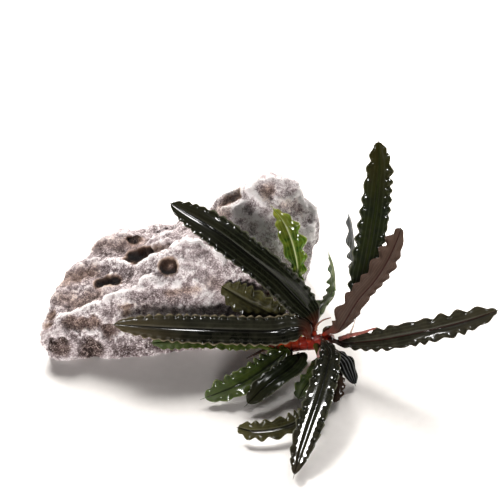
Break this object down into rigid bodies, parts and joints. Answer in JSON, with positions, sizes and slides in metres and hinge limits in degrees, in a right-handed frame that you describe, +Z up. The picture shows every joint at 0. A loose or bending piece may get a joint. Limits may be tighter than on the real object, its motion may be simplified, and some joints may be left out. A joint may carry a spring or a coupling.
{
  "type": "aquarium plant on stone",
  "caption": "Rosette of narrow wavy-edged leaves on a short creeping stem that clings to one corner of a pitted, ridged stone.",
  "frame": {"origin": "on the resting surface, under the middle of the whole object's bounding box", "axes": "+Z up; -Y towards the stone's front, where the plant grows; +X from the stone's low end towards the plant"},
  "size_m": [0.1602, 0.125, 0.066],
  "materials": {
    "stone": "rough weathered grey rock with a few brown pits",
    "stem": "smooth deep red plant stem",
    "leaf_dark": "glossy green-black leaf",
    "leaf_olive": "glossy olive leaf",
    "leaf_bright": "glossy bright green young leaf",
    "leaf_pale": "glossy grey-green leaf",
    "leaf_brown": "satin brown-mauve leaf",
    "root_pale": "pale thread root",
    "root_brown": "brown thread root"
  },
  "bodies": {
    "root": {"stone": "stone", "stem": "stem", "leaf_over_stone": "leaf_dark", "leaf_along_stone": "leaf_dark", "leaf_below_stone_leaf": "leaf_olive", "leaf_on_stone_face": "leaf_olive", "leaf_bright": "leaf_bright", "leaf_edge_on_short": "leaf_olive", "leaf_edge_on_long": "leaf_pale", "leaf_upright": "leaf_dark", "leaf_underside": "leaf_brown", "leaf_right": "leaf_brown", "leaf_front": "leaf_dark", "leaf_front_left": "leaf_olive", "leaf_front_low": "leaf_dark", "leaf_front_curled": "leaf_olive", "leaf_drooping": "leaf_dark", "leaf_short_left": "leaf_olive", "leaf_short_right": "leaf_brown", "root_pale": "root_pale", "root_brown": "root_brown", "root_clinging_up": "root_brown", "root_clinging_left": "root_brown", "root_clinging_down": "root_brown"}
  },
  "joints": []
}
